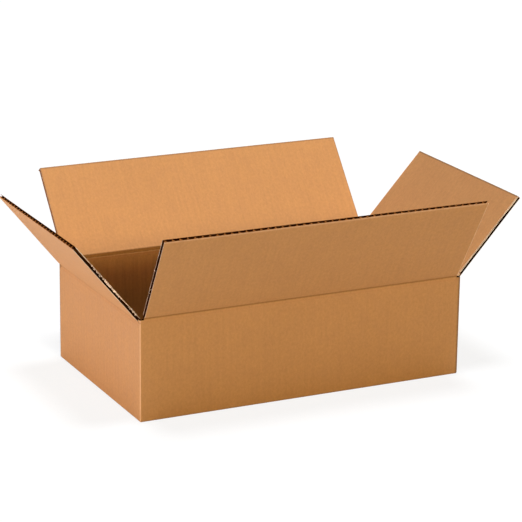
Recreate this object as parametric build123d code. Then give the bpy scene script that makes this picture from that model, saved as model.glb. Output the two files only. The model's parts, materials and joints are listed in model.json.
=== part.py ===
"""Slotted shipping box of corrugated board, standing open with its four top flaps leaning out.

The real box is one sheet: four wall panels in a ring, closed by a glued tab in one corner, with
a flap above and below each panel. The bottom flaps are folded shut and glued, so walls, bottom
flaps and tab are one solid. Each top flap swings on its own fold and is a solid of its own.

Millimetres. X runs along the box, Y to the back, Z up. The origin is the middle of the base.
"""
from build123d import *
import os
from math import cos, pi, radians, sin, sqrt, tan

# Board: two flat facings with a wavy sheet, the medium, glued between them
board = 4.0
facing = 0.5
medium = 0.4
flute_pitch = 7.8
wave_points = 7              # points along one arch of the medium
arch_share = 0.86            # part of half a pitch that an arch spans before the glue line

# Box
outer_length = 366.0
outer_width = 220.0
long_fold_height = 109.0     # the fold of the front and back flaps
corner_radius = 2.5          # outer side of the four upright folds
base_radius = 1.8            # outer side of the folds round the base
seam_gap = 3.0               # left between two long flaps that meet in the middle
layer_gap = 0.2              # between closed long flaps and the end flaps under them
slot_play = 0.5              # from a flap's side edge to the inner face of the wall beside it
slot_rise = 1.2              # how far the slots' floors stand above the end folds

# Folds of the top flaps: a small bead on the wall turns in a socket in the flap's root
bead_radius = 0.5
bead_cover = 0.1             # from the bead to the outer face
bead_play = 0.15             # from the bead to its socket
fold_end_play = 0.3          # how far a wall's fold runs past each end of its flap
closing_angle = 90.0         # from upright inwards, flat over the box
hanging_angle = 15.0         # between a flap that hangs outside and its wall
fold_spare = 0.5             # spare angle on each side of a fold at both limits
crushed_margin = 9.0         # board pressed solid beside a fold, measured from its axis

# How far each top flap leans out from upright
front_lean = 30.0
back_lean = 39.5
left_lean = 39.5
right_lean = 42.0

# Tab that closes the ring, glued inside the right wall at the back
tab_width = 34.0
tab_taper = 8.0              # how much lower each end of the tab is at its free edge
tab_end_gap = 1.4            # from the tab's ends to the flaps above and below it

# Worked out from the sizes above
fold_inset = bead_radius + bead_cover
inner_face = board - fold_inset
slot_inset = board + slot_play
end_fold_height = long_fold_height - board - layer_gap
flap_depth = (outer_width - seam_gap) / 2 - fold_inset
relief_angle = radians(hanging_angle / 2 - fold_spare)
mitre_angle = radians(closing_angle / 2 - fold_spare)
slot_floor = end_fold_height + slot_rise

# name: turn about Z, distance from the middle to the outer face, fold height, flap width, lean
long_flap_width = outer_length - 2 * slot_inset
end_flap_width = outer_width - 2 * slot_inset
sides = {
    "front": (0, outer_width / 2, long_fold_height, long_flap_width, front_lean),
    "back": (180, outer_width / 2, long_fold_height, long_flap_width, back_lean),
    "left": (-90, outer_length / 2, end_fold_height, end_flap_width, left_lean),
    "right": (90, outer_length / 2, end_fold_height, end_flap_width, right_lean),
}


def fold_place(turn, reach, height):
    """Frame of one fold: X along the fold's axis, Y towards the inside, Z up."""
    return Location((0, 0, 0), (0, 0, turn)) * Location((0, fold_inset - reach, height))


def board_end(length, way):
    """Section of a board that ends at a fold in the origin, relieved outside and mitred inside.

    way is -1 for a wall below the fold and 1 for a flap above it.
    """
    return Polygon(
        (-fold_inset, way * length),
        (-fold_inset, way * fold_inset / tan(relief_angle)),
        (0, 0),
        (inner_face, way * inner_face / tan(mitre_angle)),
        (inner_face, way * length),
        align=None,
    )


def wall(height, flap_width):
    """One wall in its fold's frame, from the base to the bead along its top."""
    section = board_end(height, -1) + Circle(bead_radius)
    return extrude(Plane.YZ * section, amount=flap_width / 2 + fold_end_play, both=True)


def arch(centre, way):
    """Hollow between one wave of the medium and a facing, in the board's section.

    way is 1 for a hollow on the outer facing and -1 for one on the inner facing.
    """
    core = board - 2 * facing
    swing = (core - medium) / 2
    middle = board / 2 - fold_inset
    half = arch_share * flute_pitch / 2
    points = []
    for i in range(wave_points):
        x = half * (2 * i / (wave_points - 1) - 1)
        phase = 2 * pi * x / flute_pitch
        slope = swing * 2 * pi / flute_pitch * sin(phase)
        rise = swing * cos(phase) - medium / 2 * sqrt(1 + slope * slope)
        if i in (0, wave_points - 1):
            rise = -core / 2
        points.append((centre + x, middle + way * rise))
    return Polygon(*points, align=None)


def fluted_section(width):
    """Section across the flutes: the board's outline less the hollows of every wave.

    The waves start on one side edge, so the cut there runs along a flute and leaves it open.
    """
    section = Pos(0, board / 2 - fold_inset) * Rectangle(width, board)
    hollows = []
    for i in range(2 * int(width / flute_pitch) + 3):
        centre = i * flute_pitch / 2 - width / 2
        hollows.append(arch(centre, 1 if i % 2 == 0 else -1))
    return section - hollows


def flap(width, lean):
    """One top flap in its fold's frame: a solid root, then fluted board to the free edge."""
    root = board_end(crushed_margin, 1) - Circle(bead_radius + bead_play)
    solid = extrude(Plane.YZ * root, amount=width / 2, both=True)
    fluted = extrude(fluted_section(width), amount=flap_depth - crushed_margin)
    return Rot(X=lean) * (solid + Pos(0, 0, crushed_margin) * fluted)


def corner_posts():
    """The four upright folds, cut off at the floors of the slots between the flaps."""
    ring = Rectangle(outer_length, outer_width)
    ring -= Rectangle(outer_length - 2 * board, outer_width - 2 * board)
    post = slot_inset - fold_end_play
    middle = Rectangle(outer_length - 2 * post, outer_width)
    middle += Rectangle(outer_length, outer_width - 2 * post)
    return extrude(ring - middle, amount=slot_floor)


def bottom_flaps():
    """End flaps folded in first, and the long flaps glued under them, meeting at a seam."""
    end_depth = fold_inset + flap_depth
    long_depth = (outer_width - seam_gap) / 2
    flaps = []
    for way in (-1, 1):
        end_x = way * (outer_length - end_depth) / 2
        flaps.append(Pos(end_x, 0, board) * sheet(end_depth, end_flap_width))
        long_y = way * (outer_width - long_depth) / 2
        flaps.append(Pos(0, long_y, 0) * sheet(long_flap_width, long_depth))
    return flaps


def sheet(length, width):
    """A flat piece of board lying on the plane Z = 0."""
    return Box(length, width, board, align=(Align.CENTER, Align.CENTER, Align.MIN))


def glue_tab():
    """Tapered tab that runs on from the back wall and lies against the right wall's inside."""
    inside_x = outer_length / 2 - board
    back_y = outer_width / 2 - board
    low = 2 * board + tab_end_gap
    high = end_fold_height + fold_inset - board - tab_end_gap
    outline = Polygon(
        (back_y, low),
        (back_y - tab_width, low + tab_taper),
        (back_y - tab_width, high - tab_taper),
        (back_y, high),
        align=None,
    )
    return extrude(Plane.YZ.offset(inside_x) * outline, amount=-board)


def rounded_outside():
    """The box's outside with its rounded folds, upright and round the base, as a solid block."""
    outline = RectangleRounded(outer_length, outer_width, corner_radius)
    block = extrude(outline, amount=long_fold_height + bead_radius)
    return fillet(block.faces().sort_by(Axis.Z)[0].edges(), base_radius)


def carton_body():
    """Walls, bottom flaps and tab as the one sheet they are."""
    body = corner_posts()
    for turn, reach, height, flap_width, lean in sides.values():
        body += fold_place(turn, reach, height) * wall(height, flap_width)
    body += bottom_flaps()
    body += glue_tab()
    return body & rounded_outside()


def build():
    """Every sub-part by name."""
    parts = {"carton_body": carton_body()}
    for name, (turn, reach, height, width, lean) in sides.items():
        parts[f"{name}_flap"] = fold_place(turn, reach, height) * flap(width, lean)
    return parts


os.makedirs("parts", exist_ok=True)
for name, part in build().items():
    export_step(part, f"parts/{name}.step")
    box = part.bounding_box()
    print(name, round(part.volume), "mm3,", len(part.solids()), "solid,", box.min, box.max)
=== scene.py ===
# %% [markdown]
# # A slotted shipping box of corrugated board
# The real box is one sheet of corrugated board, cut, creased, folded into a ring and glued.
# Corrugated board is three papers: two flat facings and a wavy medium between them. Most of what
# makes such a box look real is at its cut edges and folds, where those three papers show.
# This lesson builds the papers themselves, 0.3 mm thick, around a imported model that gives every
# size and every fold's place.

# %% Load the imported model
import json
from collections import namedtuple
from math import cos, pi, radians, sin

import bpy
from mathutils import Matrix, Vector


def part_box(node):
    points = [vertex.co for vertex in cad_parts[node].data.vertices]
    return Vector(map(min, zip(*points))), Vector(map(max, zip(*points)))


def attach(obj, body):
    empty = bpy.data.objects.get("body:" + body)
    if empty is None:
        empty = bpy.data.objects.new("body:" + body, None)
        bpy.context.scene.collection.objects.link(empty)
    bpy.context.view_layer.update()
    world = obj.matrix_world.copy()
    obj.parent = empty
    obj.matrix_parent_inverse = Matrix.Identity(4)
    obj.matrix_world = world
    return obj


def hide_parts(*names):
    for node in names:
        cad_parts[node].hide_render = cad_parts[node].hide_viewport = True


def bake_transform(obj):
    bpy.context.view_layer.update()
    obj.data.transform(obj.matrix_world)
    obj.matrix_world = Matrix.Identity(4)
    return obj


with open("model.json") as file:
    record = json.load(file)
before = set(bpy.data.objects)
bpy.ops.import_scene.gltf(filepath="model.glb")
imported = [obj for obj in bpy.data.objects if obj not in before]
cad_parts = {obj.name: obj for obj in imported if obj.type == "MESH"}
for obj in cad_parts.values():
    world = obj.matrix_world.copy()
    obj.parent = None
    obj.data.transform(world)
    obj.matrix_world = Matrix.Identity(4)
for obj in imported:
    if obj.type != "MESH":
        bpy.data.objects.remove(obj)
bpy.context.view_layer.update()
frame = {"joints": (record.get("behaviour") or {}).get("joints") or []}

# %% [markdown]
# ## Sizes
# The outside of the box, the four folds and how far each flap leans are read from the packed
# model, so the papers land exactly where the solids are. A fold's joint closes its flap flat over
# the box, so the travel past a right angle is the flap's lean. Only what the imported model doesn't
# say, such as the thickness of the papers, is written here.

# %% Sizes of the box and its board
MM = 0.001

body_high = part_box("carton_body")[1]
HALF_LENGTH = body_high.x
HALF_WIDTH = body_high.y
BOARD = 4.0 * MM
PAPER = 0.30 * MM             # each facing
MEDIUM = 0.26 * MM            # the wavy sheet
PITCH = 7.8 * MM              # one wave
FOLD_INSET = 0.6 * MM         # from a wall's outer face to its flap's fold
CLOSED = 90.0                 # degrees from upright to shut
SLOT_FLOOR = 107.6 * MM       # height of the slots' floors between the flaps
CORNER_RADIUS = 1.2 * MM
BASE_RADIUS = 1.8 * MM
SEAM_GAP = 3.0 * MM           # between the two long base flaps
TURNED_IN = BOARD - 0.1 * MM  # how far the walls turn in under the base, where its flaps begin
CLOSE = 1e-6                  # points nearer to each other than this are one

folds = {}
for joint in frame["joints"]:
    side = joint["child"]
    place = Vector(joint["pos_m"])
    low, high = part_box(side + "_flap")
    across_x = abs(joint["axis"][0]) > 0.5
    folds[side] = {
        "height": place.z,
        "width": (high.x - low.x) if across_x else (high.y - low.y),
        "reach": HALF_WIDTH if across_x else HALF_LENGTH,
        "lean": radians(joint["range_deg"][1] - CLOSED),
    }
TURNS = {"front": 0.0, "right": pi / 2, "back": pi, "left": -pi / 2}
FLAP_DEPTH = HALF_WIDTH - SEAM_GAP / 2 - FOLD_INSET


def half_side(side):
    """Half the outer length of the wall on one side."""
    return HALF_LENGTH if side in ("front", "back") else HALF_WIDTH


print("folds:", {side: round(fold["height"] / MM, 1) for side, fold in folds.items()})

# %% [markdown]
# ## The camera
# The camera comes first, because everything after it is judged through it. Its turn, height and
# distance were fitted to the corners of the box. A long lens from two and a half metres keeps the
# sides of the flaps nearly parallel.

# %% Camera
FRAME_PIXELS = 522      # the picture is square
SENSOR = 36.0           # millimetres, Blender's own
FOCAL_PIXELS = 2398.4
CAMERA_TURN = radians(-26.01)
CAMERA_RISE = radians(16.86)
CAMERA_ROLL = radians(0.74)
CAMERA_DISTANCE = 2545.2 * MM
AIM_HEIGHT = 90.0 * MM  # the point on the box's middle axis that the offsets start from
CAMERA_RIGHT = 2.9 * MM
CAMERA_UP = 25.46 * MM


def new_object(name, data):
    """An object in the scene."""
    piece = bpy.data.objects.new(name, data)
    bpy.context.scene.collection.objects.link(piece)
    return piece


def make_camera():
    """Camera at the fitted place, its sides turned by the small roll."""
    back = Vector((
        sin(CAMERA_TURN) * cos(CAMERA_RISE),
        -cos(CAMERA_TURN) * cos(CAMERA_RISE),
        sin(CAMERA_RISE),
    ))
    right = Vector((cos(CAMERA_TURN), sin(CAMERA_TURN), 0.0))
    up = back.cross(right)
    rolled_right = right * cos(CAMERA_ROLL) + up * sin(CAMERA_ROLL)
    rolled_up = up * cos(CAMERA_ROLL) - right * sin(CAMERA_ROLL)
    data = bpy.data.cameras.new("camera")
    data.sensor_width = SENSOR
    data.lens = FOCAL_PIXELS * SENSOR / FRAME_PIXELS
    camera = new_object("camera", data)
    turn = Matrix((rolled_right, rolled_up, back)).transposed()
    spot = Vector((0.0, 0.0, AIM_HEIGHT)) + back * CAMERA_DISTANCE
    spot += rolled_right * CAMERA_RIGHT + rolled_up * CAMERA_UP
    camera.matrix_world = Matrix.Translation(spot) @ turn.to_4x4()
    bpy.context.scene.camera = camera


make_camera()

# %% [markdown]
# ## Writing node trees as formulas
# Both the board's shape and its paper are formulas, and a formula is hard to read as a list of
# nodes and links. Number below stands for one output in a tree, and its plus, times, more than
# and other signs add Math nodes. Graph adds any other node.

# %% A small helper for node trees


class Number:
    """One number in a node tree, used like a number in a formula."""

    def __init__(self, graph, socket):
        self.graph = graph
        self.socket = socket

    def __add__(self, other):
        return self.graph.math("ADD", self, other)

    def __sub__(self, other):
        return self.graph.math("SUBTRACT", self, other)

    def __rsub__(self, other):
        return self.graph.math("SUBTRACT", other, self)

    def __mul__(self, other):
        return self.graph.math("MULTIPLY", self, other)

    def __truediv__(self, other):
        return self.graph.math("DIVIDE", self, other)

    def __neg__(self):
        return self * -1.0

    def __abs__(self):
        return self.graph.math("ABSOLUTE", self)

    def __gt__(self, other):
        return self.graph.math("GREATER_THAN", self, other)

    def __lt__(self, other):
        return self.graph.math("LESS_THAN", self, other)

    __radd__ = __add__
    __rmul__ = __mul__


class Graph:
    """Adds nodes to a tree and links them."""

    def __init__(self, tree):
        self.tree = tree

    def plug(self, socket, value):
        """Links an output to an input, or sets the input's own value."""
        if isinstance(value, Number):
            value = value.socket
        if isinstance(value, bpy.types.NodeSocket):
            self.tree.links.new(value, socket)
        else:
            socket.default_value = value

    def add(self, kind, values=None, **settings):
        """One node, with its settings and its inputs by name or number."""
        node = self.tree.nodes.new(kind)
        for name, value in settings.items():
            setattr(node, name, value)
        for name, value in (values or {}).items():
            self.plug(node.inputs[name], value)
        return node

    def out(self, kind, values=None, **settings):
        """The first output of a new node."""
        return self.add(kind, values, **settings).outputs[0]

    def math(self, operation, *values):
        """A Math node as a Number."""
        inputs = dict(enumerate(values))
        return Number(self, self.out("ShaderNodeMath", inputs, operation=operation))

    def ramp(self, value, start, end, low=0.0, high=1.0):
        """Goes smoothly from low at start to high at end."""
        values = {"Value": value, "From Min": start, "From Max": end, "To Min": low, "To Max": high}
        return Number(self, self.out("ShaderNodeMapRange", values, interpolation_type="SMOOTHSTEP"))

    def vector(self, x=0.0, y=0.0, z=0.0):
        """Three numbers as a vector."""
        return self.out("ShaderNodeCombineXYZ", {"X": x, "Y": y, "Z": z})

    def split(self, vector):
        """A vector's three numbers."""
        node = self.add("ShaderNodeSeparateXYZ", {"Vector": vector})
        return [Number(self, socket) for socket in node.outputs]

    def noise(self, vector, scale, detail=2.0, roughness=0.5):
        """Soft noise from about 0 to 1."""
        values = {"Vector": vector, "Scale": scale, "Detail": detail, "Roughness": roughness}
        return Number(self, self.out("ShaderNodeTexNoise", values))

    def place(self):
        """A point's place as three numbers."""
        return self.split(self.out("GeometryNodeInputPosition"))

    def move(self, geometry, **values):
        """Puts points in another Position, or moves them by an Offset."""
        return self.out("GeometryNodeSetPosition", {"Geometry": geometry, **values})

    def paint(self, geometry, paper, where=True):
        """Gives some faces, or all, their paper."""
        values = {"Geometry": geometry, "Material": paper, "Selection": where}
        return self.out("GeometryNodeSetMaterial", values)

    def join(self, *parts):
        """Several pieces of geometry as one."""
        node = self.add("GeometryNodeJoinGeometry")
        for part in parts:
            self.plug(node.inputs[0], part)
        return node.outputs[0]


# %% [markdown]
# ## The papers
# Brown liner paper is matte and never one colour. Long fibres lie mostly across the waves, the
# pulp is mottled, the waves print through as faint stripes, and a cut edge is scuffed. Painted
# shade darkens the creases, the inside of the box and some edges, and a painted highlight
# lightens the front left upright fold.
# Every sheet stores its own flat coordinates in an attribute named sheet: across the waves, along
# them from the fold, and the distance to the side cut. The paper reads those, so its pattern runs
# on over a fold and moves with a flap. Other attributes say how far away the crease is, how strong
# the painted shade of its line is, which facing the sheet is, and how its edges are scuffed or
# darkened and where they carry painted light.

# %% What every paper shares


def new_material(name):
    """An empty material and the graph of its nodes."""
    material = bpy.data.materials.new(name)
    material.use_nodes = True
    material.node_tree.nodes.clear()
    return material, Graph(material.node_tree)


def paper_surface(g, shade, tone, bump, roughness, gloss):
    """Ends a paper's tree: its colour lighter or darker by a tone, its relief and its sheen."""
    colour = g.out("ShaderNodeVectorMath", {0: shade, "Scale": tone}, operation="SCALE")
    strength, distance, height = bump
    relief = {"Strength": strength, "Distance": distance, "Height": height}
    shader = g.out("ShaderNodeBsdfPrincipled", {
        "Base Color": colour,
        "Roughness": roughness,
        "Specular IOR Level": gloss,
        "Normal": g.out("ShaderNodeBump", relief),
    })
    g.add("ShaderNodeOutputMaterial", {"Surface": shader})


# %% Paper of the facings
LINER = (0.60, 0.283, 0.101)
CREASE_HALF = 1.35 * MM     # half of the painted shade line along a fold outside
SCORE_LINE_HALF = 2.1 * MM  # and inside
SCORE_SHADE = 0.5            # how much painted shade darkens the line inside
LIP_SHADE = 0.12             # and the painted shade on the lit lip of paper below it
RIPPLE = 2.3 * MM           # from one faint painted ridge shade to the next, beside a fold outside
EDGE_BAND = 1.1 * MM        # paper scuffed pale beside a cut, or darker where its value is negative
END_BAND = 2.4 * MM         # the same at a free edge or an upright fold
WEAR_AND_PAINTED_LIGHT_TONE = 0.34            # how much a value of 1 changes the tone
MOST_DARKENING = -1.3
DEEP = 60.0 * MM            # painted shade inside the walls is darkest this far below a fold
DEEP_SHADE = 0.35
BASE_SHADE = 0.42            # how much painted shade darkens the inside of the base and the glue tab
UNCREASED = 0.3             # stands for the distance from a fold on board that has none


def make_liner_paper():
    """Brown liner paper with fibres, mottle, print-through, pale cut edges and painted shade in
    creases.
    """
    material, g = new_material("liner_paper")

    def kept(name, output):
        """What each sheet keeps under a name."""
        return g.add("ShaderNodeAttribute", attribute_name=name).outputs[output]

    across, along, side_cut = g.split(kept("sheet", "Vector"))
    end_cut, side_wear_and_darkening, end_wear_and_painted_light = g.split(kept("wear_and_painted_light", "Vector"))
    inside, crease, line = (Number(g, kept(name, "Fac")) for name in ("inside", "crease", "line"))

    # The pulp: each noise has its scale, detail and roughness
    fibres = g.noise(g.vector(across * 0.3, along), 1500.0, 3.0, 0.6)
    grain = g.noise(g.vector(across, along * 0.7), 420.0, 2.0, 0.6)
    mottle = g.noise(g.vector(across, along), 75.0, 3.0, 0.55)
    clouds = g.noise(g.vector(across, along), 14.0, 2.0, 0.5)
    streaks = g.noise(g.vector(across, along * 0.05), 330.0, 2.0, 0.5)
    stripes = g.math("COSINE", across * (2 * pi / PITCH))
    specks = g.ramp(g.noise(g.vector(across * 0.5, along), 900.0, 1.0), 0.66, 0.76)
    tone = 1.0 + (fibres - 0.5) * 0.14 + (grain - 0.5) * 0.26 + (mottle - 0.5) * 0.13
    tone = tone + (clouds - 0.5) * 0.08 - specks * 0.06 + stripes * (clouds * 0.014)
    tone += (streaks - 0.5) * (inside * 0.05 + 0.08)

    # Painted shade: the pressed lines along a fold, the lit lip below the groove inside, and faint
    # ridges beside the fold outside
    wobble = (g.noise(g.vector(across, 0.0), 180.0, 3.0, 0.6) - 0.5) * (0.8 * MM)
    outer_crease_shade = g.ramp(abs(crease + wobble), 0.0, CREASE_HALF, 1.0, 0.0) * line
    apart = abs(crease + wobble * 1.5 - 0.3 * MM)
    inner_crease_shade = g.ramp(apart, SCORE_LINE_HALF * 0.4, SCORE_LINE_HALF, SCORE_SHADE, 0.0)
    # pressed is the painted shade of the fold's lines
    pressed = outer_crease_shade * (1.0 - inside) + inner_crease_shade * inside
    # lip is painted shade over the lit lip below the groove inside
    lip = g.ramp(abs(crease + 1.3 * MM), 0.5 * MM, 1.3 * MM, LIP_SHADE, 0.0)
    near = g.ramp(abs(crease), 1.5 * MM, 6.0 * MM, 0.03, 0.0) * (1.0 - inside)
    ridge_shade = g.math("COSINE", (crease + wobble) * (2 * pi / RIPPLE)) * near
    tone = tone - pressed - lip * inside + ridge_shade

    # Edges scuffed pale or darkened: painted shade at the front right upright fold and the right
    # flap's free edge, a painted highlight at the front left upright fold
    worn_and_painted_light = g.ramp(side_cut, 0.0, EDGE_BAND, 1.0, 0.0) * side_wear_and_darkening * g.ramp(crease, 0.0, 2.0 * MM)
    worn_and_painted_light += g.ramp(end_cut, 0.0, END_BAND, 1.0, 0.0) * end_wear_and_painted_light
    worn_and_painted_light = g.math("MAXIMUM", worn_and_painted_light * (mottle * 0.8 + 0.6), MOST_DARKENING)
    pale_wear_and_highlight = g.math("MAXIMUM", worn_and_painted_light, 0.0)
    tone += worn_and_painted_light * WEAR_AND_PAINTED_LIGHT_TONE

    # Inside the box: painted shade, darker down the inner walls and on the base, and faint streaks
    # on the walls
    wall = g.ramp(crease, -2.0 * MM, -5.0 * MM) * inside
    # depth is painted shade, growing down the inner walls
    depth = g.ramp(crease, -4.0 * MM, -DEEP) * inside
    base_inside_shade = g.ramp(crease, UNCREASED - 0.1, UNCREASED - 0.05) * inside
    tone = tone - depth * DEEP_SHADE + (streaks - 0.5) * wall * 0.26 - base_inside_shade * BASE_SHADE
    dull = g.ramp(abs(crease + 0.8 * MM), 1.0 * MM, 3.0 * MM, 0.5, 0.0) * inside

    # Painted shade makes the pressed lines and the inside browner; scuffed paper and the painted
    # highlight are whiter
    warmth = (grain - 0.5) * 0.05 + (mottle - 0.5) * 0.06
    tint = g.vector(
        1.0 - wall * 0.07 - depth * 0.14,
        1.0 + warmth - pressed * 0.24 + pale_wear_and_highlight * 0.22 - wall * 0.05 - depth * 0.06,
        1.0 + warmth * 2.0 - pressed * 0.9 + pale_wear_and_highlight * 0.9 - wall * 0.28 - depth * 0.16,
    )
    shade = g.out("ShaderNodeVectorMath", {0: LINER, 1: tint}, operation="MULTIPLY")
    height = fibres * 0.5 + mottle * 0.35 + streaks * 0.15
    roughness = g.ramp(mottle, 0.3, 0.7, 0.72, 0.84)
    paper_surface(g, shade, tone, (0.35, 0.12 * MM, height), roughness, 0.5 - dull)
    return material


# %% Paper of the waves and of the cut edges
# The waves' paper is painted near black: painted shade of the channels between the facings
FLUTE_SHADE = (0.036, 0.009, 0.0015)
CUT = (0.90, 0.69, 0.54)
TORN = (0.23, 0.08, 0.020)


def make_plain_paper(name, shade, grain_tone, patch_tone=0.0):
    """A rough paper that only needs a little grain: the medium, or a facing's cut edge."""
    material, g = new_material(name)
    place = g.add("ShaderNodeTexCoord").outputs["Object"]
    grain = g.noise(place, 900.0, 3.0, 0.6)
    patch = g.noise(place, 90.0, 2.0, 0.6)
    tone = 1.0 + (grain - 0.5) * grain_tone + (patch - 0.5) * patch_tone
    paper_surface(g, shade, tone, (0.4, 0.1 * MM, grain), 0.9, 0.0)
    return material


liner_paper = make_liner_paper()
shaded_flute_paper = make_plain_paper("shaded_flute_paper", FLUTE_SHADE, 0.5)
cut_paper = make_plain_paper("cut_paper", CUT, 0.5, 1.6)
torn_paper = make_plain_paper("torn_paper", TORN, 0.8, 0.6)

# %% [markdown]
# ## Fluted board as a node tree
# A piece of board follows a rule: three sheets over the same rectangle, where the middle one is a
# wave that just touches the two others. A Geometry Nodes tree makes it from named sizes. Each
# sheet is a grid, laid in its place by a formula, then extruded by its thickness. Beside a fold
# the real board is crushed by a creasing wheel, and so are the formulas: both facings dip towards
# the fold and the wave flattens. At the free edge the cutting blade has nipped the facings together
# and closed the crests of the wave. At a side cut the inner facing is torn: it hangs a little into
# the board, and crumbs stick to it. Last, everything past the fold turns by the lean, smoothly over
# a few millimetres, as paper does.

# %% Sizes of a creased fold
BEND_HALF = 3.6 * MM     # the board bends from this far before the fold to as far after it
HINGE_START = 5.5 * MM   # how much of the wall below a fold belongs to the flap's piece
RELIEF_HALF = 4.9 * MM   # half width of the shallow dip outside
RELIEF_DEPTH = 0.36 * MM
LINE_HALF = 0.7 * MM     # half width of the fine line pressed along the fold outside
LINE_DEPTH = 0.18 * MM
LINE = 0.30              # how much painted shade darkens that line, which also scales its depth
SCORE_HALF = 1.9 * MM    # half width of the groove pressed inside
SCORE_DEPTH = 0.6 * MM
CRUSHED = 9.0 * MM       # the board is a little thinner this far from the fold
CRUSHED_DEPTH = 0.22 * MM
PRINT_DEPTH = 0.05 * MM  # how far a facing sinks between two glue lines

# %% Sizes of the cuts
FRAY = 0.22 * MM        # unevenness of a cut
FRAY_SCALE = 700.0      # how fine it is at the free edge
TEAR_SCALE = 160.0      # and along a side cut
ON_CUT = 0.3 * MM       # points nearer to a side cut than this are on it
TORN_BAND = 0.7 * MM    # width of the inner facing's torn edge
PINCH = 8.0             # how much the cutting blade narrows the crests at the free edge
PINCH_ZONE = 2.5 * MM   # depth of the pinched edge
SHUT = 5.5 * MM         # the right flap's flutes are crushed shut this far from its fold
SHUT_RIM = 8.0 * MM     # and show a closed edge of liner paper at most this far
NEAR_FOLD = 2.0 * MM    # side cuts get the dark flute paper's painted shade this close to the fold
FAR_SPARED = 0.2        # how much less the far one of two scuffed side cuts is scuffed
CRUMB_DEPTH = 2.8 * MM  # crumbs stick to a cut this far from the inner face
SMALL_CRUMB = (0.12 * MM, 0.40 * MM, 0.16 * MM)
LARGE_CRUMB = (0.35 * MM, 1.20 * MM, 0.60 * MM)
CRUMB_TURN = (0.7, 3.0, 0.3)
CRUMB_DROP = 0.9 * MM   # how far a crumb may hang below the inner face
CRUMB_SEED = 7

# %% How fine the meshes are
STEPS_PER_WAVE = 8
FLAP_ROWS = 34.0    # rows of points from the fold to the free edge
FOLD_ROWS = 23.0    # as many of them are in the creased zone
CREASED_ZONE = HINGE_START + CRUSHED
GRID_EDGE = 0.4999  # a grid runs from -0.5 to 0.5, and past this is its edge

PAPERS = {"Liner": liner_paper, "Flute": shaded_flute_paper, "Cut": cut_paper, "Torn": torn_paper}

# %% The tree's inputs and its rows of points


def board_inputs(tree, g):
    """The tree's named sizes, as Numbers, and its papers."""
    sizes = {
        "Width": 0.3, "Start": 0.0, "End": 0.1, "Waves": 40.5, "Outer face": 0.0, "Lean": 0.0,
        "Creased": 1.0, "Taper": 0.0, "Bow": 0.0, "Shift": 0.0, "Seed": 0.0,
        "Rows": 6.0, "Fold rows": 1.0, "Pinched": 1.0, "Flip": 1.0, "Shut": -1.0,
        "Flare": 0.0, "Skew": 0.0, "Nip": 0.0, "Ragged": 0.0, "Hang": 0.0, "Hang end": 1.0,
        "Slant": 0.0, "Fibres": 0.0, "Torn spot": -1.0,
        "Side wear and darkening": 0.5, "End wear and painted light": 0.5, "Line": LINE,
    }
    for name, value in sizes.items():
        socket = tree.interface.new_socket(name, in_out="INPUT", socket_type="NodeSocketFloat")
        socket.default_value = value
    for name in PAPERS:
        tree.interface.new_socket(name, in_out="INPUT", socket_type="NodeSocketMaterial")
    entry = g.add("NodeGroupInput")
    numbers = {name: Number(g, entry.outputs[name]) for name in sizes}
    papers = {name: entry.outputs[name] for name in PAPERS}
    return numbers, papers


def row_place(g, size, y, start):
    """Distance from the fold of a row: close rows in the creased zone and at the free edge."""
    row = (y + 0.5) * (size["Rows"] - 1.0)
    flat_rows = size["Rows"] - 2.0 - size["Fold rows"]
    in_zone = g.math("MINIMUM", row / size["Fold rows"], 1.0)
    in_flat = g.math("MAXIMUM", (row - size["Fold rows"]) / flat_rows, 0.0)
    in_flat = g.math("MINIMUM", in_flat, 1.0)
    at_end = g.math("MAXIMUM", row - size["Rows"] + 2.0, 0.0)
    flat = size["End"] - PINCH_ZONE - start - CREASED_ZONE
    return start + in_zone * CREASED_ZONE + in_flat * flat + at_end * PINCH_ZONE


def to_side_cut(size, across):
    """Distance to the nearer side cut."""
    return size["Width"] * 0.5 - abs(across)


# %% One sheet of paper


def store(g, geometry, name, value):
    """Keeps a number or a vector on every point under a name."""
    kind = "FLOAT_VECTOR" if isinstance(value, bpy.types.NodeSocket) else "FLOAT"
    node = g.add("GeometryNodeStoreNamedAttribute", {"Geometry": geometry, "Name": name},
                 data_type=kind, domain="POINT")
    g.plug(next(s for s in node.inputs if s.name == "Value" and s.enabled), value)
    return node.outputs[0]


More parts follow.
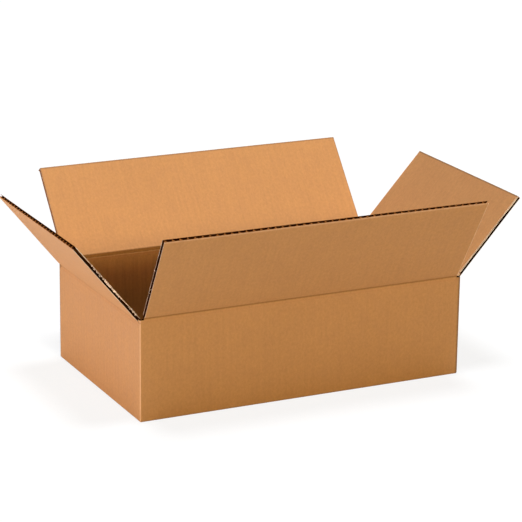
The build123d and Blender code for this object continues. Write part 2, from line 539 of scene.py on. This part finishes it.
def lay_sheet(g, size, columns, inside, depth_at):
    """A grid whose points are pushed in by the function depth_at(across, along)."""
    sheet = g.out("GeometryNodeMeshGrid", {
        "Size X": 1.0, "Size Y": 1.0, "Vertices X": columns, "Vertices Y": size["Rows"],
    })
    x, y, _ = g.place()
    at_end = y > GRID_EDGE
    at_side = abs(x) > GRID_EDGE
    far_side = x * size["Flip"] > 0.0

    taper = size["Taper"] * (0.5 - x)
    along = row_place(g, size, y, size["Start"] + taper)
    end_fray = g.noise(g.vector(x * size["Width"], size["Seed"], inside), FRAY_SCALE, 3.0) - 0.5
    side_fray = g.noise(g.vector(size["Seed"], along, inside), TEAR_SCALE, 4.0, 0.65) - 0.5
    width = size["Width"] + size["Flare"] * g.math("MAXIMUM", along / size["End"], 0.0)
    set_back = size["Slant"] * (1.0 - inside) * (1.0 - far_side) * g.ramp(along, 0.0, 3.0 * MM)
    across = x * width - g.math("SIGN", x) * at_side * (side_fray * (2 * FRAY) + set_back)
    along = along - taper * (y > 0.0) + at_end * end_fray * (2 * FRAY)

    side_cut = width * 0.5 - abs(across)
    scuffed = size["Side wear and darkening"] > 0.0
    side_wear_and_darkening = size["Side wear and darkening"] * (1.0 - far_side * scuffed * FAR_SPARED)
    for name, value in {
        "sheet": g.vector(across + size["Shift"], along, side_cut),
        "wear_and_painted_light": g.vector(size["End"] - along, side_wear_and_darkening, size["End wear and painted light"]),
        "line": size["Line"],
        "inside": inside,
        "crease": along * size["Creased"] + (1.0 - size["Creased"]) * UNCREASED,
    }.items():
        sheet = store(g, sheet, name, value)
    return g.move(sheet, Position=g.vector(across, depth_at(across, along), along))


def thicken(g, surface, offset, paper, skin, rim):
    """Closes a surface into a sheet: skin on the pushed side, rim round it, flute behind."""
    pushed = g.add("GeometryNodeExtrudeMesh", {
        "Mesh": surface, "Offset Scale": 0.0, "Individual": False,
    }, mode="FACES")
    moved = g.move(pushed.outputs["Mesh"], Selection=pushed.outputs["Top"], Offset=offset)
    edged = g.paint(g.paint(moved, paper[skin]), paper[rim], pushed.outputs["Side"])
    backed = g.paint(g.out("GeometryNodeFlipFaces", {"Mesh": surface}), paper["Flute"])
    closed = {"Geometry": g.join(backed, edged), "Distance": CLOSE}
    return g.out("GeometryNodeMergeByDistance", closed)


# %% What shows at the cuts


def paint_cuts(g, size, paper, board):
    """Torn paper along the free edge, and closed side cuts, or ones with painted shade, beside the
    fold.
    """
    across, _, along = g.place()
    torn = (along > size["End"] - 3 * FRAY) * size["Pinched"]
    on_side = (to_side_cut(size, across) < ON_CUT) * size["Creased"]
    by_shut = on_side * (along < g.math("MINIMUM", size["Shut"], SHUT_RIM))
    by_fold = on_side * (along < NEAR_FOLD)
    board = g.paint(board, paper["Torn"], torn)
    board = g.paint(board, paper["Liner"], by_shut)
    return g.paint(board, paper["Flute"], by_fold)


def random_vector(g, low, high):
    """A vector between two others, another one for each point."""
    return g.out("FunctionNodeRandomValue", {0: low, 1: high}, data_type="FLOAT_VECTOR")


def scatter_crumbs(g, size, board, material):
    """Crumbs of torn paper on the side cuts, in clusters, joined to the board."""
    across, depth, along = g.place()
    on_cut = (to_side_cut(size, across) < ON_CUT) * (along > 2 * BEND_HALF)
    on_cut *= (depth > BOARD - FOLD_INSET - CRUMB_DEPTH)
    cluster = g.ramp(g.noise(g.vector(size["Seed"], along, across), 90.0, 2.0), 0.46, 0.60)
    cluster *= g.ramp(along, size["End"] * 0.6, size["End"] * 0.8, 0.35, 0.0)
    spot = g.ramp(abs(along - size["Torn spot"]), 2.0 * MM, 6.0 * MM, 1.0, 0.0)
    points = g.out("GeometryNodeDistributePointsOnFaces", {
        "Mesh": board, "Selection": on_cut,
        "Density": (cluster + spot) * size["Fibres"], "Seed": CRUMB_SEED,
    }, distribute_method="RANDOM")
    crumb = g.out("GeometryNodeMeshIcoSphere", {"Radius": 1.0, "Subdivisions": 1})
    scale = random_vector(g, SMALL_CRUMB, LARGE_CRUMB)
    turn = random_vector(g, [-angle for angle in CRUMB_TURN], CRUMB_TURN)
    drop = random_vector(g, (0.0, -CRUMB_DROP, 0.0), (0.0, 0.0, 0.0))
    crumbs = g.out("GeometryNodeInstanceOnPoints", {
        "Points": g.move(points, Offset=drop), "Instance": crumb, "Rotation": turn, "Scale": scale,
    })
    real = g.out("GeometryNodeRealizeInstances", {0: crumbs})
    return g.join(g.paint(real, material), board)


# %% The whole tree


def make_board_tree():
    """The node tree of one piece of fluted board, upright on its fold and then leaning out."""
    tree = bpy.data.node_groups.new("fluted_board", "GeometryNodeTree")
    tree.is_modifier = True
    tree.interface.new_socket("Geometry", in_out="OUTPUT", socket_type="NodeSocketGeometry")
    g = Graph(tree)
    size, paper = board_inputs(tree, g)
    columns = g.math("ROUND", size["Waves"] * STEPS_PER_WAVE) + 1.0
    turn = size["Waves"] * (2 * pi) / size["Width"]

    def wave(across, along):
        """1 where the wave touches the inner facing and -1 where it touches the outer one."""
        skew = g.ramp(along, size["End"] * 0.66, size["End"]) * size["Skew"]
        return g.math("COSINE", (across * size["Flip"] + size["Width"] * 0.5 + skew) * turn)

    def nip(across, along):
        """How far the cutting blade pressed each facing in at the free edge, most at its far end."""
        share = across * size["Flip"] / size["Width"] * 0.8 + 0.6
        return g.ramp(along, size["End"] - PINCH_ZONE, size["End"]) * share * size["Nip"]

    def dips(along, *shapes):
        """How far a facing is pressed in, from half widths and depths round the fold."""
        away = abs(along)
        pressed = [g.ramp(away, 0.0, half, depth, 0.0) for half, depth in shapes]
        return sum(pressed[1:], pressed[0]) * size["Creased"]

    def settle(along):
        """0 at a creased fold and 1 away from it."""
        near = g.ramp(abs(along), BEND_HALF, 4 * BEND_HALF, 1.0, 0.0)
        return 1.0 - near * size["Creased"]

    def bow(across, along):
        """Slow unevenness of the whole board, nothing at the fold."""
        sway = g.noise(g.vector(across, along, size["Seed"]), 7.0, 1.0) - 0.5
        return sway * size["Bow"] * g.ramp(along, 2 * CRUSHED, 8 * CRUSHED)

    def outer_face(across, along):
        line_depth = size["Line"] * (LINE_DEPTH / LINE)
        dip = dips(along, (RELIEF_HALF, RELIEF_DEPTH), (LINE_HALF, line_depth))
        print_through = (1.0 + wave(across, along)) * (PRINT_DEPTH / 2) * settle(along)
        return size["Outer face"] + dip + print_through + nip(across, along)

    def inner_face(across, along):
        dip = dips(along, (SCORE_HALF, SCORE_DEPTH), (CRUSHED, CRUSHED_DEPTH))
        print_through = (1.0 - wave(across, along)) * (PRINT_DEPTH / 2) * settle(along)
        return size["Outer face"] + BOARD - dip - print_through - nip(across, along)

    def ragged(across, along):
        """How far the inner facing's torn edge hangs into the board at a side cut, unevenly."""
        torn = g.noise(g.vector(size["Seed"], along, across), TEAR_SCALE, 3.0, 0.6)
        share = g.ramp(along, size["End"] * 0.45, size["End"] * 0.65, 1.0, size["Hang end"])
        edge = g.ramp(torn, 0.38, 0.66) * size["Ragged"] + share * size["Hang"]
        by_cut = g.ramp(to_side_cut(size, across), TORN_BAND, ON_CUT)
        return by_cut * edge * g.ramp(along, NEAR_FOLD, 3 * NEAR_FOLD)

    def outer_back(across, along):
        return outer_face(across, along) + PAPER + bow(across, along)

    def inner_back(across, along):
        return inner_face(across, along) - PAPER - ragged(across, along) + bow(across, along)

    def medium_rise(across, along):
        """How far the medium stands off the outer facing, with narrow crests at the free edge."""
        pinch = g.ramp(along, size["End"] - PINCH_ZONE, size["End"]) * PINCH + 1.0
        share = g.math("POWER", (wave(across, along) + 1.0) * 0.5, pinch)
        low = outer_face(across, along) + PAPER
        high = inner_face(across, along) - PAPER
        return (high - low - MEDIUM) * share

    def medium_back(across, along):
        low = outer_face(across, along) + PAPER
        return low + MEDIUM + medium_rise(across, along) + bow(across, along)

    def medium_thickness(across, along):
        """The medium's own, and as thick as a crest is high where blade or wheel closed it."""
        closed = g.ramp(along, size["End"] - PINCH_ZONE * 0.8, size["End"] - PINCH_ZONE * 0.6)
        shut = g.ramp(along, size["Shut"] + 1.5 * MM, size["Shut"])
        shut *= g.ramp(to_side_cut(size, across), 3.0 * MM, 1.5 * MM)
        shut *= g.ramp(along, 3 * NEAR_FOLD, CRUSHED, 0.6)
        return medium_rise(across, along) * (closed * size["Pinched"] + shut) + MEDIUM

    across, _, along = g.place()
    outer = lay_sheet(g, size, columns, 0.0, outer_back)
    outer = thicken(g, outer, g.vector(0.0, -PAPER), paper, "Liner", "Cut")
    inner = lay_sheet(g, size, columns, 1.0, inner_back)
    inner = g.out("GeometryNodeFlipFaces", {"Mesh": inner})
    inner_push = g.vector(0.0, ragged(across, along) + PAPER)
    inner = thicken(g, inner, inner_push, paper, "Liner", "Cut")
    medium = lay_sheet(g, size, columns, 0.5, medium_back)
    medium_push = g.vector(0.0, -medium_thickness(across, along))
    medium = thicken(g, medium, medium_push, paper, "Flute", "Torn")
    board = paint_cuts(g, size, paper, g.join(medium, inner, outer))
    board = scatter_crumbs(g, size, board, paper["Cut"])

    position = g.out("GeometryNodeInputPosition")
    bend = g.ramp(g.split(position)[2], -BEND_HALF, BEND_HALF) * size["Lean"]
    turned = {"Vector": position, "Angle": bend}
    rotated = g.out("ShaderNodeVectorRotate", turned, rotation_type="X_AXIS")
    real = g.out("GeometryNodeRealizeInstances", {0: g.move(board, Position=rotated)})
    g.add("NodeGroupOutput", {0: real})
    return tree


board_tree = make_board_tree()

# %% [markdown]
# The tree becomes a plain mesh at once: its modifier is evaluated, the result is copied, and the
# modifier goes. Sharp corners stay sharp and the waves are shaded smooth.

# %% A piece of board as a plain mesh
SHARP = radians(40.0)


def plain_mesh(maker):
    """What an object's modifiers make, as a smooth mesh with sharp corners. The object goes."""
    graph = bpy.context.evaluated_depsgraph_get()
    mesh = bpy.data.meshes.new_from_object(
        maker.evaluated_get(graph), preserve_all_data_layers=True, depsgraph=graph)
    bpy.data.objects.remove(maker)
    mesh.shade_smooth()
    mesh.set_sharp_from_angle(angle=SHARP)
    return mesh


def fluted_board(name, place, sizes):
    """Board made by the tree from its named sizes, as a plain mesh put in its place.

    It has whole waves and a half, so that one side cut opens inwards and the other outwards.
    """
    maker = new_object(name, bpy.data.meshes.new(name))
    modifier = maker.modifiers.new("board", "NODES")
    modifier.node_group = board_tree
    values = {**sizes, **PAPERS, "Waves": round(sizes["Width"] / PITCH - 0.5) + 0.5}
    for socket in board_tree.interface.items_tree:
        if socket.name in values:
            modifier[socket.identifier] = values[socket.name]
    mesh = plain_mesh(maker)
    mesh.transform(place)
    return mesh


# %% [markdown]
# ## The four top flaps
# Each flap's piece starts a little below its fold, on the wall, so that the crease itself is
# inside one continuous mesh. All four come from the same tree, and each has its own habits, as a
# box that was cut and handled has, and its own painted shade along its fold line and some edges.

# %% What differs from flap to flap
SHIFTS = {  # where each panel lies along the unrolled ring
    "left": -HALF_WIDTH,
    "front": HALF_LENGTH,
    "right": 2 * HALF_LENGTH + HALF_WIDTH,
    "back": 3 * HALF_LENGTH + 2 * HALF_WIDTH,
}
# The side whose cut opens inwards, how uneven the flap is and how much wider at its free edge, how
# far its flutes are crushed shut, their angle to the cut, torn edges, how much painted shade darkens
# its pressed line, which also sets its depth, and edges that are scuffed pale or darkened
HABITS = {
    "front": {"Bow": 1.2 * MM, "Flare": 4.4 * MM, "Nip": 0.5 * MM, "Slant": 0.5 * MM,
              "Ragged": 0.1 * MM, "Fibres": 0.1e6, "Side wear and darkening": 1.8, "End wear and painted light": 0.9,
              "Line": 0.44},
    "left": {"Bow": 1.2 * MM, "Flip": -1.0, "Skew": 2.0 * MM, "Nip": 0.45 * MM,
             "Ragged": 0.6 * MM, "Hang": 0.15 * MM, "Hang end": 0.3, "Fibres": 2.0e6,
             "Torn spot": 56.0 * MM, "Side wear and darkening": 1.5, "End wear and painted light": 0.3, "Line": 0.12},
    # the right flap's negative end value is painted shade along its free edge
    "right": {"Bow": 1.4 * MM, "Shut": SHUT, "Ragged": 0.6 * MM, "Hang": 0.8 * MM,
              "Side wear and darkening": 1.4, "End wear and painted light": -1.5},
    "back": {"Bow": 1.6 * MM, "Flip": -1.0, "Shut": 1.0, "Side wear and darkening": -1.2, "End wear and painted light": -1.2},
}
SEED_STEP = 3.7  # between the patterns of two flaps

# %% Flaps


def fold_place(side):
    """Frame of a fold: X along it, Y towards the inside, Z up."""
    fold = folds[side]
    turn = Matrix.Rotation(TURNS[side], 4, "Z")
    return turn @ Matrix.Translation((0.0, FOLD_INSET - fold["reach"], fold["height"]))


def make_flap(side, number):
    """One top flap with its creased fold, in one mesh."""
    fold = folds[side]
    name = side + "_flap_board"
    mesh = fluted_board(name, fold_place(side), {
        "Width": fold["width"],
        "Start": -HINGE_START,
        "End": FLAP_DEPTH,
        "Outer face": -FOLD_INSET,
        "Lean": fold["lean"],
        "Shift": SHIFTS[side],
        "Seed": SEED_STEP * number,
        "Rows": FLAP_ROWS,
        "Fold rows": FOLD_ROWS,
        **HABITS[side],
    })
    return new_object(name, mesh)


flap_boards = {side: make_flap(side, n + 1) for n, side in enumerate(folds)}
for side, board in flap_boards.items():
    print(side, "flap:", len(board.data.polygons), "faces")

# %% [markdown]
# ## The ring of walls
# Round the box the three papers are tubes. Each is lofted from one plan, a rounded rectangle
# walked once round, and pushed in by its depth in the board. The tubes stop where the creased
# folds begin, and stand higher only in the corners, at the floors of the slots.

# %% Plan of the ring
PLAN_STEP = PITCH / STEPS_PER_WAVE
ARC_STEPS = 6
LEAST_RADIUS = 0.02 * MM  # of a corner far inside the board

# One stop of the walk: its side, its place along that side, the side's turn about Z, and the angle
# walked round the corner
Stop = namedtuple("Stop", "side x turn angle")


def plan_walk():
    """Stops once round the outside, close along the flaps and few beside the slots."""
    walk = []
    for side in ("left", "front", "right", "back"):
        straight = half_side(side) - CORNER_RADIUS
        slot = folds[side]["width"] / 2
        between = (straight + slot) / 2
        steps = round(2 * slot / PLAN_STEP)
        places = [-straight, -between]
        places += [-slot + 2 * slot * i / steps for i in range(steps + 1)]
        places += [between, straight]
        turn = Matrix.Rotation(TURNS[side], 3, "Z")
        walk += [Stop(side, x, turn, 0.0) for x in places]
        walk += [Stop(side, straight, turn, pi / 2 * i / ARC_STEPS) for i in range(1, ARC_STEPS)]
    return walk


def plan_point(stop, inset):
    """Place in the plan of one stop of the walk, pushed in by inset."""
    radius = max(CORNER_RADIUS - inset, LEAST_RADIUS)
    limit = half_side(stop.side) - inset - radius
    x = limit if stop.angle else max(-limit, min(limit, stop.x))
    away = folds[stop.side]["reach"] - inset - radius
    return stop.turn @ Vector((x + radius * sin(stop.angle), -away - radius * cos(stop.angle), 0.0))


walk = plan_walk()
print("stops round the ring:", len(walk))

# %% What each stop is like
CORNER_CRUSH = 0.35  # how much of the wave's swing is left round a corner
CORNER_PAINTED_LIGHT = {"left": 0.9, "front": -2.2, "right": 0.0, "back": -1.8}  # at the end of each side: a painted highlight where positive, darker where negative, painted shade at the front's end
HIGHLIGHT_FALL = 3.3     # how many times faster the painted highlight fades beside an upright fold
DARK_FALL = 0.7     # and the darkening beside a darkened one


def by_corner(stop):
    """Whether a stop is beside a slot or round a corner, where the waves are crushed."""
    return abs(stop.x) > folds[stop.side]["width"] / 2 or stop.angle > 0.0


def corner_painted_light(stop):
    """Distance from the nearest upright fold, scaled for its band, and that fold's painted highlight
    or shade.
    """
    arc = CORNER_RADIUS * pi / 2
    away = half_side(stop.side) - CORNER_RADIUS - abs(stop.x) + arc / 2
    nearest = stop.side
    if stop.angle:
        away = arc * abs(stop.angle / (pi / 2) - 0.5)
    elif stop.x < 0:
        sides = list(CORNER_PAINTED_LIGHT)
        nearest = sides[sides.index(stop.side) - 1]
    wear_and_painted_light = CORNER_PAINTED_LIGHT[nearest]
    return away * (HIGHLIGHT_FALL if wear_and_painted_light > 0 else DARK_FALL), wear_and_painted_light


def outer_depth(stop, u):
    """How deep the outer facing lies: waves print through it, but not in the corners."""
    return 0.0 if by_corner(stop) else (1 + cos(2 * pi * u / PITCH)) * PRINT_DEPTH / 2


def inner_depth(stop, u):
    """How deep the hidden side of the inner facing lies, so that it ends on the inner face."""
    sunk = 0.0 if by_corner(stop) else (1 - cos(2 * pi * u / PITCH)) * PRINT_DEPTH / 2
    return BOARD - sunk - PAPER


def wave_depth(stop, u):
    """How deep the medium runs between the two facings, flattened round the corners."""
    swing = (BOARD - 2 * PAPER - MEDIUM) / 2 * (CORNER_CRUSH if by_corner(stop) else 1.0)
    return BOARD / 2 - MEDIUM / 2 + swing * cos(2 * pi * u / PITCH)


# %% Tubes of paper
BASE_CREASE = 5 * BASE_RADIUS  # below this height the nearest fold is the base's


def wall_top(side, x):
    """Height of the tubes at a stop: lower where a flap's creased fold takes over."""
    fold = folds[side]
    return fold["height"] - HINGE_START if abs(x) <= fold["width"] / 2 + CLOSE else SLOT_FLOOR


def tube_faces(levels):
    """Faces between each stop and the next, up to the tube's top there."""
    faces = []
    rows = len(levels)
    for i, stop in enumerate(walk):
        j = (i + 1) % len(walk)
        on_one_side = stop.side == walk[j].side and not stop.angle
        top = wall_top(stop.side, (stop.x + walk[j].x) / 2 if on_one_side else HALF_LENGTH)
        for k in range(rows - 1):
            if levels[k + 1][1] <= top + CLOSE:
                faces.append((i * rows + k, j * rows + k, j * rows + k + 1, i * rows + k + 1))
    return faces


def tube(name, depth_at, levels, thickness, inside, papers):
    """A tube of paper round the box: a grid of stops and levels, given its thickness inwards.

    depth_at(stop, u) is how far a stop is pushed in, with u the length walked. The levels are
    pairs of an extra inset and a height. The papers are its outer side's, inner side's and rim's.
    """
    vertices, sheet, wear_and_painted_light, creases = [], [], [], []
    u = -2 * HALF_WIDTH
    last = plan_point(walk[0], 0.0)
    for stop in walk:
        outside = plan_point(stop, 0.0)
        u += (outside - last).length
        last = outside
        away, fold_painted_light = corner_painted_light(stop)
        for extra, z in levels:
            point = plan_point(stop, extra + depth_at(stop, u))
            from_fold = z - folds[stop.side]["height"]
            vertices.append((point.x, point.y, z))
            sheet += [u, from_fold, 1.0]
            wear_and_painted_light += [away, 0.0, fold_painted_light]
            creases.append(levels[0][1] - z if z < BASE_CREASE else from_fold)
    mesh = bpy.data.meshes.new(name)
    mesh.from_pydata(vertices, [], tube_faces(levels))
    for key, values in {
        "sheet": sheet,
        "inside": [inside] * len(vertices),
        "line": [LINE] * len(vertices),
        "wear_and_painted_light": wear_and_painted_light,
        "crease": creases,
    }.items():
        kind, field = ("FLOAT_VECTOR", "vector") if key in ("sheet", "wear_and_painted_light") else ("FLOAT", "value")
        mesh.attributes.new(key, kind, "POINT").data.foreach_set(field, values)
    for material in papers:
        mesh.materials.append(material)
    maker = new_object(name, mesh)
    wall = maker.modifiers.new("thickness", "SOLIDIFY")
    wall.thickness = thickness
    wall.offset = -1.0
    wall.material_offset = 1
    wall.material_offset_rim = 2
    return plain_mesh(maker)


# %% Walls
WALL_LEVELS = 5
MEDIUM_LEVELS = 2
WALL_START = 2 * BOARD / 3  # where the inner papers begin, above the table


def base_levels():
    """Levels of the outer paper as it turns under the base."""
    angles = [pi / 2 * i / ARC_STEPS for i in range(ARC_STEPS + 1)]
    round_fold = [(BASE_RADIUS * (1 - sin(a)), BASE_RADIUS * (1 - cos(a))) for a in angles]
    return [(TURNED_IN, 0.0)] + round_fold


def upper_levels(start, count):
    """Even levels up the wall, ending with the three heights where tubes stop."""
    end_top = folds["left"]["height"] - HINGE_START
    long_top = folds["front"]["height"] - HINGE_START
    even = [start + (end_top - start) * i / count for i in range(1, count + 1)]
    return [(0.0, z) for z in even + [long_top, SLOT_FLOOR]]


def join_pieces(name, meshes):
    """Several meshes as one object, with their papers and attributes kept."""
    parts = [new_object(name, mesh) for mesh in meshes]
    with bpy.context.temp_override(active_object=parts[0], selected_editable_objects=parts):
        bpy.ops.object.join()
    parts[0].name = name
    return parts[0]


def make_walls():
    """The three tubes, the outer one turned under at the base, as one piece."""
    start = [(0.0, WALL_START)]
    outer = tube("outer_tube", outer_depth, base_levels() + upper_levels(BASE_RADIUS, WALL_LEVELS),
                 PAPER, 0.0, (liner_paper, shaded_flute_paper, shaded_flute_paper))
    inner = tube("inner_tube", inner_depth, start + upper_levels(WALL_START, WALL_LEVELS),
                 PAPER, 1.0, (shaded_flute_paper, liner_paper, shaded_flute_paper))
    wave = tube("wave_tube", wave_depth, start + upper_levels(WALL_START, MEDIUM_LEVELS),
                MEDIUM, 0.5, (shaded_flute_paper, shaded_flute_paper, shaded_flute_paper))
    return join_pieces("wall_boards", [outer, inner, wave])


walls = make_walls()
print("walls:", len(walls.data.polygons), "faces")

# %% [markdown]
# ## The closed base and the glue tab
# The base is four flaps of the same board lying flat: the two end flaps were folded in first, and
# the two long ones were glued under them, meeting at a narrow seam. Their free edges show waves,
# inside the box and along the seam. The glue tab closes the ring in the back right corner.

# %% Base flaps
BASE_SEED = 40.0


def make_base_flap(side, number):
    """One base flap, outer face down, lying on the table or one board higher."""
    fold = folds[side]
    height = BOARD if side in ("left", "right") else 0.0
    down = Matrix.Rotation(-pi / 2, 4, "X") @ Matrix.Rotation(pi, 4, "Z")
    place = Matrix.Rotation(TURNS[side], 4, "Z")
    place = place @ Matrix.Translation((0.0, -fold["reach"], height)) @ down
    return fluted_board(side + "_base_board", place, {
        "Width": fold["width"],
        "Start": TURNED_IN,
        "End": FLAP_DEPTH + FOLD_INSET,
        "Creased": 0.0,
        "Shift": SHIFTS[side],
        "Seed": BASE_SEED + number,
    })


base = join_pieces("base_boards", [make_base_flap(side, n) for n, side in enumerate(folds)])
print("base:", len(base.data.polygons), "faces")

# %% Glue tab
TAB_WIDTH = 34.0 * MM
TAB_TAPER = 8.0 * MM
TAB_GAP = 1.4 * MM   # from the tab's ends to the flaps above and below it
TAB_SINK = 0.2 * MM  # how far the tab runs into the corner
TAB_SHIFT = 3.0
TAB_SEED = 60.0


def make_glue_tab():
    """The tapered tab that runs on from the back wall and lies inside the right wall."""
    turn = Matrix.Rotation(pi / 2, 4, "Z")
    back = HALF_WIDTH - BOARD + TAB_SINK
    spot = Matrix.Translation((back - TAB_WIDTH / 2, -(HALF_LENGTH - BOARD), 0.0))
    return fluted_board("glue_tab_board", turn @ spot, {
        "Width": TAB_WIDTH,
        "Start": 2 * BOARD + TAB_GAP,
        "End": folds["right"]["height"] + FOLD_INSET - BOARD - TAB_GAP,
        "Creased": 0.0,
        "Taper": TAB_TAPER,
        "Shift": TAB_SHIFT,
        "Seed": TAB_SEED,
    })


glue_tab = new_object("glue_tab_board", make_glue_tab())

# %% [markdown]
# ## Floor and light
# A plain pale floor, a light from above, one from the front, a low one from the left, and a dim
# even surround. Two glowing rectangles on the left reach the left wall and the underside of its
# flap. The inside of the box stays dark, because the flaps keep most of the light out of it, and
# painted shade darkens its paper there too. Under the box the floor doesn't look white, since it
# shows through the seam of the base.

# %% Floor
FLOOR_HALF = 4.0
FLOOR_SHADE = 0.52
FLOOR_GLOW = 1.2   # what the camera sees besides: 1 is white
GLOW_SHARE = 0.72  # how much of the floor's look that is


def floor_material(name, share):
    """Plain pale matter that glows in a share of what the camera sees, and lights nothing."""
    material, g = new_material(name)
    shade = (FLOOR_SHADE, FLOOR_SHADE, FLOOR_SHADE, 1.0)
    plain = g.out("ShaderNodeBsdfDiffuse", {"Color": shade})
    glow = g.out("ShaderNodeEmission", {"Strength": FLOOR_GLOW})
    ray = Number(g, g.add("ShaderNodeLightPath").outputs["Is Camera Ray"])
    seen = g.out("ShaderNodeMixShader", {0: ray * share, 1: plain, 2: glow})
    g.add("ShaderNodeOutputMaterial", {"Surface": seen})
    return material


def make_floor():
    """Pale floor that looks white to the camera, but not under the box, and keeps its shadow."""
    under_box = (HALF_LENGTH - 2 * BASE_RADIUS, HALF_WIDTH - 2 * BASE_RADIUS)
    corners = ((-1, -1), (1, -1), (1, 1), (-1, 1))
    vertices = []
    for reach_x, reach_y in ((FLOOR_HALF, FLOOR_HALF), under_box):
        vertices += [(x * reach_x, y * reach_y, 0.0) for x, y in corners]
    ring = [(i, (i + 1) % 4, (i + 1) % 4 + 4, i + 4) for i in range(4)]
    mesh = bpy.data.meshes.new("floor")
    mesh.from_pydata(vertices, [], ring + [(4, 5, 6, 7)])
    mesh.materials.append(floor_material("floor_white", GLOW_SHARE))
    mesh.materials.append(floor_material("floor_under_box", 0.0))
    mesh.polygons[len(ring)].material_index = 1
    floor = new_object("floor", mesh)


make_floor()

# %% Lamps and surround
SURROUND = 0.096
GLOWS = {  # place, turn about X and Y, size, power and colour
    "card_light": ((-0.60, 0.0, 0.004), (pi, 0.0), (0.45, 0.50), 0.79, (0.80, 1.02, 1.42)),
    "low_light": ((-0.30, 0.0, 0.014), (0.0, -pi / 2), (0.02, 0.40), 0.062, (1.0, 0.95, 0.9)),
}
LAMPS = {  # where it comes from, level, colour and spread in degrees
    "top_light": ((0.0, 0.0, 1.0), 0.935, (0.97, 1.0, 1.06), 16.0),
    "front_light": ((0.0, -1.0, 0.35), 0.447, (1.0, 0.86, 0.50), 10.0),
    "left_light": ((-1.0, 0.0, 0.002), 0.505, (1.0, 0.895, 0.89), 0.2),
}


def make_glow(name, spot, turn, size, power, shade):
    """A glowing rectangle beside the box, which the camera doesn't see."""
    data = bpy.data.lights.new(name, "AREA")
    data.shape = "RECTANGLE"
    data.size, data.size_y = size
    data.energy = power
    data.color = shade
    glow = new_object(name, data)
    glow.location = spot
    glow.rotation_euler = (*turn, 0.0)
    glow.visible_camera = False


def make_lamp(name, towards, level, shade, spread):
    """A broad far light. At level 1 it turns white paper that faces it white."""
    data = bpy.data.lights.new(name, "SUN")
    data.energy = level * pi
    data.color = shade
    data.angle = radians(spread)
    lamp = new_object(name, data)
    lamp.rotation_mode = "QUATERNION"
    lamp.rotation_quaternion = Vector(towards).to_track_quat("Z", "Y")


def make_world(strength):
    """An even pale surround, pure white where the camera sees it."""
    world = bpy.data.worlds.new("surround")
    bpy.context.scene.world = world
    world.use_nodes = True
    world.node_tree.nodes.clear()
    g = Graph(world.node_tree)
    ray = Number(g, g.add("ShaderNodeLightPath").outputs["Is Camera Ray"])
    level = ray * (1.0 - strength) + strength
    glow = g.out("ShaderNodeBackground", {"Color": (1.0, 1.0, 1.0, 1.0), "Strength": level})
    g.add("ShaderNodeOutputWorld", {"Surface": glow})


make_world(SURROUND)
for name, values in GLOWS.items():
    make_glow(name, *values)
for name, values in LAMPS.items():
    make_lamp(name, *values)
bpy.context.scene.view_settings.view_transform = "Standard"

# %% [markdown]
# The walls, the base and the tab stay with the box. The flaps' pieces are only put in place, and
# the model's parts that the pieces stand for are hidden.

# %% Bodies and what each piece stands for
for piece in (walls, base, glue_tab):
    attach(piece, "body")
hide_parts("carton_body")
for side, board in flap_boards.items():
    place = fold_place(side)
    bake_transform(board)
    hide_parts(side + "_flap")
